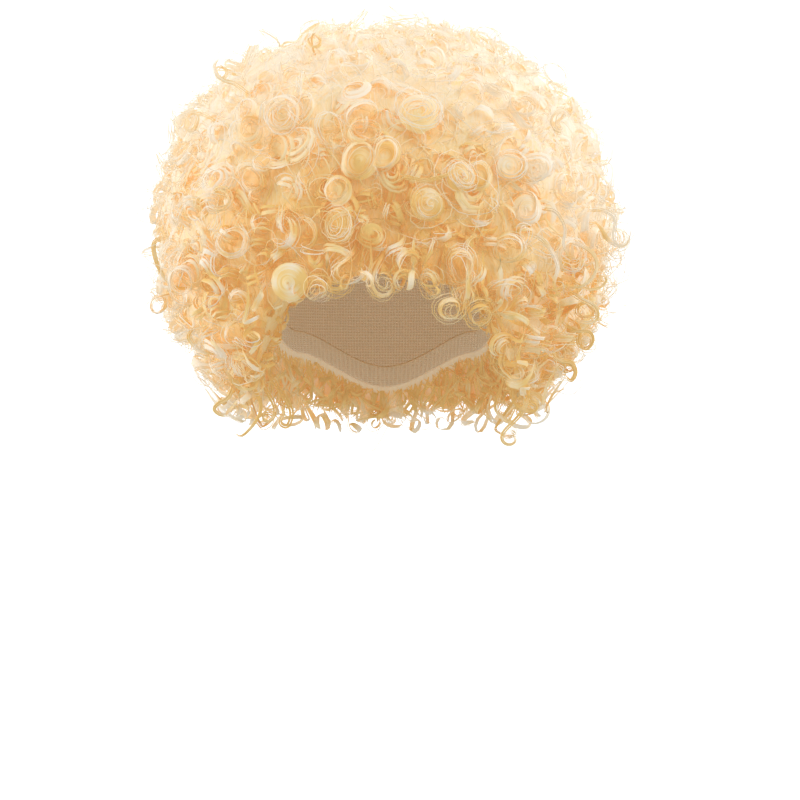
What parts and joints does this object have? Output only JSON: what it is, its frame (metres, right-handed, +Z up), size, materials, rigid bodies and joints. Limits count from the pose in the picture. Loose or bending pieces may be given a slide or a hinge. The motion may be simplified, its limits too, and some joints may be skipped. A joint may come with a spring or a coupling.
{
  "type": "curly costume wig",
  "caption": "Round, full costume wig of short blonde ringlets sewn in panels over a stretch cap with an elastic rim band, open below for the head and in front for the face.",
  "frame": {"origin": "the inside of the cap at the crown, where the wig sits on the top of the head", "axes": "+Z up, -Y the way the face looks, +X to the wearer's left"},
  "size_m": [0.313, 0.3232, 0.275],
  "materials": {
    "curled_hair": "glossy curled synthetic fibre, pale golden blonde",
    "cap_net": "matt stretch net, sand coloured",
    "band_elastic": "matt woven elastic, sand coloured"
  },
  "bodies": {
    "root": {"cap": "cap_net", "rim_band": "band_elastic", "crown_curls": "curled_hair", "fringe_curls": "curled_hair", "left_curls": "curled_hair", "right_curls": "curled_hair", "back_curls": "curled_hair", "nape_curls": "curled_hair"}
  },
  "joints": []
}
